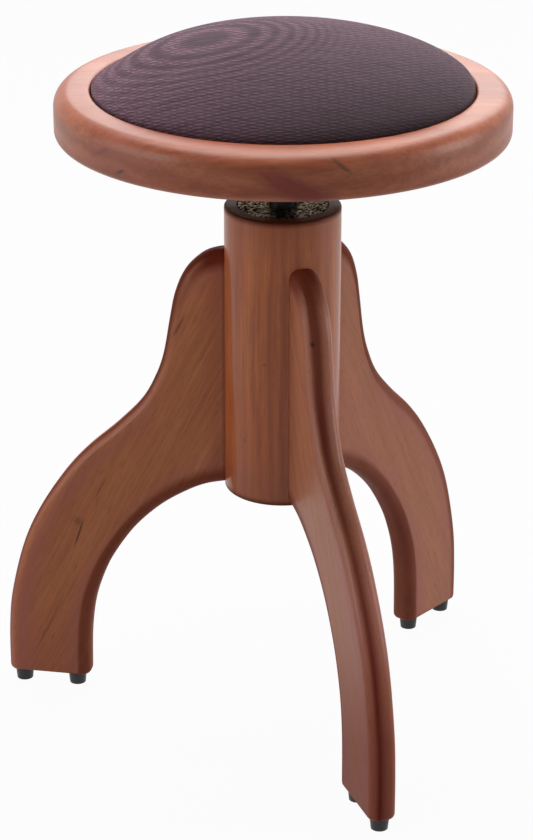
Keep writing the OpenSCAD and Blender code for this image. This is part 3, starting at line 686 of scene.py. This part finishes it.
legSize = {
    "reach": 0.217, "top": 0.372, "columnRadius": 0.043, "footWidth": 0.0655, "footHeight": 0.0095,
    "cornerRadius": 0.004, "archTop": 0.1865, "thickness": 0.0205, "edgeRadius": 0.008, "footEdge": 0.0025,
    "cornerLoss": 0.7, "stations": 110, "edgeSteps": 8, "cornerSteps": 6, "grainTilt": 27,
    "strips": (0.05, 0.12, 0.22, 0.36, 0.5, 0.64, 0.78, 0.88, 0.95), "rimReach": 0.019, "rimPower": 1.5,
    # painted shade on the arch edge, which faces down
    "stripeTop": 0.0022, "stripeFade": 0.0026, "noseEnd": 0.21, "topEnd": 0.5, "archPaintedShade": 0.8,
    "rimOnEdge": 0.3, "sharpAngle": 50,
    "outerShares": [(-0.05, 1.003), (0.033, 0.998), (0.102, 0.983), (0.172, 0.948), (0.215, 0.899),
                    (0.238, 0.845), (0.268, 0.763), (0.306, 0.708), (0.37, 0.651), (0.48, 0.593),
                    (0.614, 0.533), (0.72, 0.473), (0.838, 0.384), (0.919, 0.295), (0.98, 0.176),
                    (0.998, 0.087), (1, 0)],
    "innerShares": [(-0.08, 1.003), (0.128, 0.974), (0.302, 0.921), (0.478, 0.845), (0.655, 0.734),
                    (0.809, 0.592), (0.897, 0.474), (0.96, 0.345), (0.992, 0.19), (1, 0)],
}


def splinePoint(points, share):
    span = share * (len(points) - 1)
    index = min(int(span), len(points) - 2)
    t = span - index
    a, b, c, d = (points[max(0, min(len(points) - 1, index + k))] for k in (-1, 0, 1, 2))
    return (2 * b + (c - a) * t + (2 * a - 5 * b + 4 * c - d) * t * t
            + (3 * b - a - 3 * c + d) * t * t * t) / 2


def legEdge(points, cornerX, side, inset):
    stations = legSize["stations"]
    cornerZ = legSize["footHeight"] + legSize["cornerRadius"]
    near = 0.25 / stations
    line = []
    for k in range(stations):
        share = k / stations
        here = splinePoint(points, share)
        run = splinePoint(points, min(1, share + near)) - splinePoint(points, max(0, share - near))
        run.normalize()
        line.append(here + side * inset * Vector((run.y, -run.x)))
    insetShare = inset / legSize["edgeRadius"]
    corner = legSize["cornerRadius"] * (1 - insetShare * legSize["cornerLoss"])
    drop = legSize["cornerRadius"] - insetShare * legSize["footEdge"]
    for k in range(legSize["cornerSteps"] + 1):
        turn = math.radians(90 * k / legSize["cornerSteps"])
        line.append(Vector((cornerX - side * (inset + corner * (1 - math.cos(turn))),
                            cornerZ - drop * math.sin(turn))))
    return line


def legMesh(name, wood, angle, offset, stripeShift, stripeWidth):
    size = legSize
    cornerZ = size["footHeight"] + size["cornerRadius"]
    footInner = size["reach"] - size["footWidth"]

    def edgePoints(shares, start, end, top):
        return [Vector((start + s * (end - start), cornerZ + t * (top - cornerZ))) for s, t in shares]

    outer = edgePoints(size["outerShares"], size["columnRadius"], size["reach"], size["top"])
    inner = edgePoints(size["innerShares"], size["columnRadius"], footInner, size["archTop"])
    turns = [math.radians(90 * k / size["edgeSteps"]) for k in range(size["edgeSteps"] + 1)]
    edge = size["edgeRadius"]
    flat = size["thickness"] / 2 - edge
    layers = [(-flat - edge * math.sin(t), edge * (1 - math.cos(t))) for t in reversed(turns)]
    layers += [(flat + edge * math.sin(t), edge * (1 - math.cos(t))) for t in turns]
    points, shades, rims = [], [], []
    for y, inset in layers:
        outline = legEdge(outer, size["reach"], 1, inset) + legEdge(inner, footInner, -1, inset)[::-1]
        points += [Vector((p.x, y, p.y)) for p in outline]
        # a dark stripe runs down the outer edge, partly stain and partly painted shade, and painted shade
        # covers the whole arch edge, which faces down
        half = len(outline) // 2
        for k in range(half):
            upper = max(0.0, 1 - k / (half * size["topEnd"]))
            away = abs(y - stripeShift) - stripeWidth - size["stripeTop"] * min(1.0, 2 * upper)
            nose = max(0.0, min(1.0, 2 - 2 * k / (half * size["noseEnd"])))
            shades.append(max(nose, min(1.0, 1 - away / size["stripeFade"])))
        shades += [size["archPaintedShade"]] * half
        rims += [size["rimOnEdge"]] * len(outline)
    count = len(outline)
    faces = []
    for level in range(len(layers) - 1):
        for k in range(count):
            a, b = level * count + k, level * count + (k + 1) % count
            faces.append((a, b, b + count, a + count))
    # the two flat faces: strips across from the outer edge to the inner edge
    for first, flip in ((0, True), ((len(layers) - 1) * count, False)):
        previous = None
        for k in range(count // 2):
            start, end = points[first + k], points[first + count - 1 - k]
            rung = [first + k]
            for share in size["strips"]:
                rung.append(len(points))
                points.append(start.lerp(end, share))
                depth = min(share, 1 - share) * (end - start).length
                shades.append(0.0)
                rims.append(max(0.0, 1 - depth / size["rimReach"]) ** size["rimPower"])
            rung.append(first + count - 1 - k)
            if previous:
                for a, b, c, d in zip(previous, previous[1:], rung[1:], rung):
                    faces.append((a, b, c, d) if flip else (d, c, b, a))
            previous = rung
    mesh = bpy.data.meshes.new(name)
    spin = Matrix.Rotation(math.radians(angle), 3, "Z")
    mesh.from_pydata([spin @ p for p in points], [], faces)
    for label, values in (("edgeShade", shades), ("rimShade", rims)):
        mesh.attributes.new(label, "FLOAT", "POINT").data.foreach_set("value", values)
    # the third coordinate runs along the boards that the leg is cut from
    tilt = math.radians(size["grainTilt"])
    place = mesh.attributes.new("grainPlace", "FLOAT_VECTOR", "POINT")
    values = []
    for p in points:
        values += [p.x * math.cos(tilt) + p.z * math.sin(tilt), p.y + offset,
                   -p.x * math.sin(tilt) + p.z * math.cos(tilt)]
    place.data.foreach_set("vector", values)
    outwardMesh(mesh)
    smoothMesh(mesh, size["sharpAngle"])
    mesh.materials.append(materials[wood])
    return mesh


legPlaces = [
    # name, node, wood, angle, where its grain starts, its dark stripe of stain and painted shade: off the
    # middle by, half its width
    ("legFront", "leg_front", "frontLeg", -90, 0.0, -0.0038, 0.0009),
    ("legRight", "leg_right", "paleLeg", 30, 0.4, -0.0080, 0.0014),
    ("legLeft", "leg_left", "leg", 150, 0.8, 0.0035, 0.0024),
]
for name, node, *settings in legPlaces:
    leg = newObject(name, legMesh(name, *settings))
    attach(leg, "stand")
    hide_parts(node)
print("legs ready")


# Pan-head screws under the seat, one tree for all three rings of them

screwSizes = {
    "boardScrews": {"node": "ring_screws", "Count": 8, "Ring Radius": 0.1435, "Start Angle": 22.5,
                    "Head Radius": 0.004, "Head Height": 0.0026, "Shank Radius": 0.002,
                    "Shank Length": 0.026},
    "padScrews": {"node": "pad_screws", "Count": 4, "Ring Radius": 0.09639, "Start Angle": 0.0,
                  "Head Radius": 0.0045, "Head Height": 0.0026, "Shank Radius": 0.002, "Shank Length": 0.024},
    "plateScrews": {"node": "plate_screws", "Count": 4, "Ring Radius": 0.06788, "Start Angle": 45.0,
                    "Head Radius": 0.00475, "Head Height": 0.003, "Shank Radius": 0.0025,
                    "Shank Length": 0.015},
}
# shares of the head's radius, of its height and of the shank's radius
screwShape = {"slotLong": 1.05, "slotWide": 0.26, "slotDepth": -0.95, "pointShare": 0.35, "block": 4.0}
screwSteps = {"headSegments": 28, "headRings": 14, "shankSides": 24}
# up to how far round each screw is stopped at random, in radians
screwTwist = {"reach": 6.28, "seed": 5}
screwSharpAngle = 40


def screwTree():
    lengths = ("Ring Radius", "Start Angle", "Seat Height", "Head Radius", "Head Height", "Shank Radius",
               "Shank Length")
    tree, groupIn, groupOut = newGeometryTree(
        "panHeadScrews", [("Count", "Int"), ("Finish", "Material")] + [(label, "Float") for label in lengths])
    headRadius, headHeight, shankRadius = ((groupIn, label) for label in lengths[3:6])

    def made(kind, values=None, **settings):
        return addNode(tree, "GeometryNode" + kind, values, **settings)

    def vector(x=0.0, y=0.0, z=0.0):
        return addNode(tree, "ShaderNodeCombineXYZ", {0: x, 1: y, 2: z})

    def turnAbout(angle):
        return addNode(tree, "FunctionNodeEulerToRotation", {0: vector(z=angle)})

    # the head: the lower half of a flattened ball, with a cross cut into it from below
    ball = made("MeshUVSphere", {"Segments": screwSteps["headSegments"], "Rings": screwSteps["headRings"],
                                 "Radius": 1.0})
    dome = made("Transform", {0: ball, "Scale": vector(headRadius, headRadius, headHeight)})
    side = times(headRadius, screwShape["block"])
    block = made("MeshCube", {"Size": vector(side, side, side)})
    lift = times(headRadius, screwShape["block"] / 2)
    cuts = [made("Transform", {0: block, "Translation": vector(z=lift)})]
    slot = (times(headRadius, screwShape["slotLong"]), times(headRadius, screwShape["slotWide"]))
    for long, wide in (slot, slot[::-1]):
        bar = made("MeshCube", {"Size": vector(long, wide, headHeight)})
        depth = times(headHeight, screwShape["slotDepth"])
        cuts.append(made("Transform", {0: bar, "Translation": vector(z=depth)}))
    head = made("MeshBoolean", {0: dome}, operation="DIFFERENCE")
    for cut in cuts:
        join(cut, head, 1)
    pointRadius = times(shankRadius, screwShape["pointShare"])
    shank = made("MeshCone", {"Vertices": screwSteps["shankSides"], "Side Segments": 1,
                              "Depth": (groupIn, "Shank Length"), "Radius Bottom": shankRadius,
                              "Radius Top": pointRadius}, fill_type="NGON")
    screw = made("JoinGeometry")
    for part in (head, shank):
        join(part, screw)
    circle = made("MeshCircle", {"Vertices": (groupIn, "Count"), "Radius": (groupIn, "Ring Radius")})
    startAngle = mathNode("RADIANS", (groupIn, "Start Angle"))
    places = made("Transform", {0: circle, "Rotation": turnAbout(startAngle),
                                "Translation": vector(z=(groupIn, "Seat Height"))})
    copies = made("InstanceOnPoints", {"Points": places, "Instance": screw})
    # each screw stopped at its own angle: sockets 3 and 1 are the greatest number and the result
    chance = addNode(tree, "FunctionNodeRandomValue",
                     {3: screwTwist["reach"], "Seed": screwTwist["seed"]}, data_type="FLOAT")
    twist = made("RotateInstances", {0: copies, "Rotation": turnAbout((chance, 1))})
    endTree(tree, groupIn, groupOut, twist)
    return tree


screws = screwTree()
for name, size in screwSizes.items():
    start = bpy.data.objects.new(name + "Start", bpy.data.meshes.new(name + "Start"))
    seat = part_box(size["node"])[0].z + size["Head Height"]
    values = {label: value for label, value in size.items() if label != "node"}
    piece = madeByTree(name, screws, start, {**values, "Seat Height": seat, "Finish": materials["zincScrew"]})
    smoothMesh(piece.data, screwSharpAngle)
    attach(piece, "seat")
    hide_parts(size["node"])
print("screws ready")


# Cushion: a crowned pad whose cover turns under its board

cushionSize = {
    "power": 1.68, "grid": 64, "sideSteps": 6, "drawIn": 0.003, "coverThickness": 0.0012, "gap": 0.0003,
    "margin": 0.026, "slack": 0.955, "frames": 20, "cap": 0.006, "lean": (0.0028, 0.0039),
    "domeHeight": 0.039, "crowding": 0.9, "fineSteps": 400, "freeShare": 0.97, "foldInside": 0.5,
    "slackRise": 3, "sharpAngle": 60,
    # the padding has settled at one shoulder: its direction, how much is lost, how wide and how near the rim
    "settledAt": 143, "settledShare": 0.85, "settledWidth": 1.9, "settledPower": 7.9,
    "cloth": {"quality": 6, "mass": 0.35, "tension_stiffness": 22, "compression_stiffness": 22,
              "shear_stiffness": 10, "bending_stiffness": 1.2, "use_pressure": True,
              "uniform_pressure_force": 4.0, "vertex_group_mass": "stapled"},
}


def discPoint(u, v):
    # a square of -1 to 1 drawn out to a disc, so that no pole is needed
    if u == 0 and v == 0:
        return 0.0, 0.0
    if abs(u) > abs(v):
        radius, angle = u, math.pi / 4 * v / u
    else:
        radius, angle = v, math.pi / 2 - math.pi / 4 * u / v
    return radius * math.cos(angle), radius * math.sin(angle)


def cushionMesh():
    size = cushionSize
    coverLow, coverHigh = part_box("pad_cover")
    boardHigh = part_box("pad_board")[1]
    radius = coverHigh.x
    brim = coverHigh.z - size["domeHeight"]
    rise = coverHigh.z - brim
    count, fine = size["grid"], size["fineSteps"]
    points, free, spread = [], [], []

    def domeHeight(share, angle=None):
        height = rise * max(0.0, 1 - share ** size["power"]) ** (1 / size["power"])
        if angle is not None:
            facing = max(0.0, math.cos(angle - math.radians(size["settledAt"]))) ** size["settledWidth"]
            height *= 1 - size["settledShare"] * facing * share ** size["settledPower"]
        return brim + height

    # how far along the cover each share of the radius lies from the crown
    lengths = [0.0]
    for step in range(fine):
        drop = domeHeight(step / fine) - domeHeight((step + 1) / fine)
        lengths.append(lengths[-1] + math.hypot(radius / fine, drop))

    for row in range(count + 1):
        for columnIndex in range(count + 1):
            x, y = discPoint(2 * columnIndex / count - 1, 2 * row / count - 1)
            share = min(1.0, math.hypot(x, y))
            # the rings crowd towards the rim, where the dome is steep
            drawn = math.sin(share * math.pi / 2) ** size["crowding"] if share > 0 else 0
            scale = radius * drawn / share if share > 0 else 0
            z = domeHeight(drawn, math.atan2(y, x))
            points.append(Vector((x * scale, y * scale, z)))
            free.append(drawn < size["freeShare"])
            run = lengths[round(drawn * fine)] / share if share > 0 else 0
            spread.append(Vector((x * run, y * run, 0)))
    faces = []
    width = count + 1
    for row in range(count):
        for columnIndex in range(count):
            a = row * width + columnIndex
            faces.append((a, a + 1, a + 1 + width, a + width))
    rim = list(range(width))
    rim += [row * width + count for row in range(1, width)]
    rim += [count * width + k for k in range(count - 1, -1, -1)]
    rim += [row * width for row in range(count - 1, 0, -1)]
    section = []
    for step in range(1, size["sideSteps"] + 1):
        share = step / size["sideSteps"]
        section.append((radius - size["drawIn"] * share * share, brim - share * (brim - coverLow.z)))
    boardRadius = boardHigh.x
    marginRadius = boardRadius - size["margin"]
    inside, gap = coverLow.z + size["coverThickness"], size["gap"]
    section += [(boardRadius, coverLow.z), (marginRadius, coverLow.z), (marginRadius, inside),
                (boardRadius + gap, inside), (boardRadius + gap, boardHigh.z + gap),
                (boardRadius * size["foldInside"], boardHigh.z + gap)]
    previous, before, run = rim, (radius, brim), lengths[-1]
    for ringRadius, z in section:
        current = []
        run += math.hypot(ringRadius - before[0], z - before[1])
        before = (ringRadius, z)
        for k in rim:
            angle = math.atan2(points[k].y, points[k].x)
            current.append(len(points))
            points.append(Vector((ringRadius * math.cos(angle), ringRadius * math.sin(angle), z)))
            spread.append(Vector((run * math.cos(angle), run * math.sin(angle), 0)))
            free.append(False)
        for k in range(len(rim)):
            n = (k + 1) % len(rim)
            faces.append((previous[k], current[k], current[n], previous[n]))
        previous = current
    mesh = bpy.data.meshes.new("seatCushion")
    mesh.from_pydata(points, [], faces)
    mesh.materials.append(materials["fabric"])
    place = mesh.attributes.new("clothPlace", "FLOAT_VECTOR", "POINT")
    place.data.foreach_set("vector", [value for spot in spread for value in spot])
    return mesh, free, brim, rise


def seatCushion():
    size = cushionSize
    mesh, free, brim, rise = cushionMesh()
    piece = newObject("seatCushion", mesh)
    full = [v.co.copy() for v in mesh.vertices]
    # starts a little slack, then the padding's pressure fills the cover
    pinned = piece.vertex_groups.new(name="stapled")
    for vertex in mesh.vertices:
        lift = max(0.0, vertex.co.z - brim) / rise
        if free[vertex.index] and vertex.co.z > brim:
            slack = (1 - size["slack"]) * min(1.0, size["slackRise"] * lift)
            vertex.co.z = brim + (vertex.co.z - brim) * (1 - slack)
        else:
            pinned.add([vertex.index], 1.0, "ADD")
    cloth = piece.modifiers.new("stuffing", "CLOTH")
    for setting, value in size["cloth"].items():
        setattr(cloth.settings, setting, value)
    cloth.settings.effector_weights.gravity = 0
    cloth.collision_settings.use_collision = False
    for step in range(1, size["frames"] + 1):
        scene.frame_set(step)
    filled = [v.co.copy() for v in evaluated(piece).data.vertices]
    piece.modifiers.remove(cloth)
    scene.frame_set(1)
    for vertex, goal, start in zip(mesh.vertices, filled, full):
        move = goal - start
        if move.length > size["cap"]:
            move *= size["cap"] / move.length
        vertex.co = start + move
    highest = max(v.co.z for v in mesh.vertices)
    for vertex in mesh.vertices:
        lift = max(0.0, vertex.co.z - brim) / (highest - brim)
        if lift > 0:
            vertex.co.z = brim + rise * lift
            vertex.co.x += size["lean"][0] * lift
            vertex.co.y += size["lean"][1] * lift
    subdivide = piece.modifiers.new("smooth", "SUBSURF")
    subdivide.levels = subdivide.render_levels = 1
    finished = bpy.data.meshes.new_from_object(evaluated(piece))
    piece.modifiers.remove(subdivide)
    piece.data = finished
    outwardMesh(finished, fill=True)
    smoothMesh(finished, size["sharpAngle"])
    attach(piece, "seat")
    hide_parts("pad_cover", "pad_foam")
    return piece


cushion = seatCushion()
print("cushion:", len(cushion.data.polygons), "faces")


# Floor, world, lamps and camera

studio = {
    "floorSize": 30.0, "floorColor": (0.5, 0.5, 0.5), "floorWhite": 0.96, "worldDiffuse": 0.03,
    "camera": {"place": (-0.6847, -1.8609, 1.0761), "turn": (67.06, -0.08, -19.83), "lens": 122.66,
               "sensor": 36, "farEnd": 100},
    "lamps": [
        # name, place, aim, width, height, power
        ("leftBox", (-2.25, 0.5, 0.8), (0, 0, 0.25), 0.9, 1.6, 9.5),
        ("leftStrip", (-2.25, -0.35, 0.9), (0, 0, 0.25), 0.14, 1.6, 12),
        ("rightBox", (2.1, -0.8, 0.8), (0, 0, 0.25), 0.9, 1.6, 21.5),
        ("frontFill", (1.1, -1.9, 1.0), (0, 0, 0.3), 0.5, 1.6, 2.4),
        ("topBox", (0.1, 0.4, 2.2), (0, 0, 0.4), 1.6, 1.6, 47),
        ("backBox", (1.1, 1.9, 1.5), (0, 0, 0.5), 1.9, 1.2, 21),
    ],
}


def whiteToCamera(tree, share=1.0):
    # how far the camera, mirrors and glass see plain white in place of the lit surface
    path = addNode(tree, "ShaderNodeLightPath")
    seen = mathNode("MAXIMUM", (path, "Is Camera Ray"), (path, "Is Glossy Ray"))
    seen = mathNode("MAXIMUM", seen, (path, "Is Transmission Ray"))
    return times(seen, share)


def makeFloor():
    half = studio["floorSize"] / 2
    mesh = bpy.data.meshes.new("studioFloor")
    corners = [(-half, -half, 0), (half, -half, 0), (half, half, 0), (-half, half, 0)]
    mesh.from_pydata(corners, [], [(0, 1, 2, 3)])
    material = bpy.data.materials.new("paleFloor")
    tree = emptyTree(material)
    matte = addNode(tree, "ShaderNodeBsdfDiffuse", {"Color": (*studio["floorColor"], 1)})
    glow = addNode(tree, "ShaderNodeEmission", {"Color": (1, 1, 1, 1), "Strength": 1.0})
    share = whiteToCamera(tree, studio["floorWhite"])
    after("OutputMaterial", {0: after("MixShader", {0: share, 1: matte, 2: glow})})
    mesh.materials.append(material)
    floor = newObject("studioFloor", mesh)


def makeWorld():
    world = bpy.data.worlds.new("studioWorld")
    scene.world = world
    tree = emptyTree(world)
    strength = mapRange(whiteToCamera(tree), 0, 1, studio["worldDiffuse"], 1.0, smooth=False)
    background = after("Background", {"Color": (1, 1, 1, 1), "Strength": strength})
    after("OutputWorld", {0: background})


def makeLamps():
    for name, place, aim, width, height, power in studio["lamps"]:
        lamp = bpy.data.lights.new(name, "AREA")
        lamp.shape = "RECTANGLE"
        lamp.size, lamp.size_y, lamp.energy = width, height, power
        holder = newObject(name, lamp)
        holder.location = place
        holder.rotation_euler = (Vector(aim) - Vector(place)).to_track_quat("-Z", "Y").to_euler()


def makeCamera():
    view = studio["camera"]
    camera = bpy.data.cameras.new("photoCamera")
    camera.lens = view["lens"]
    camera.sensor_width = view["sensor"]
    camera.clip_end = view["farEnd"]
    holder = newObject("photoCamera", camera)
    holder.location = view["place"]
    holder.rotation_euler = [math.radians(a) for a in view["turn"]]
    scene.camera = holder


makeFloor()
makeWorld()
makeLamps()
makeCamera()
scene.view_settings.view_transform = "Standard"
print("studio ready")
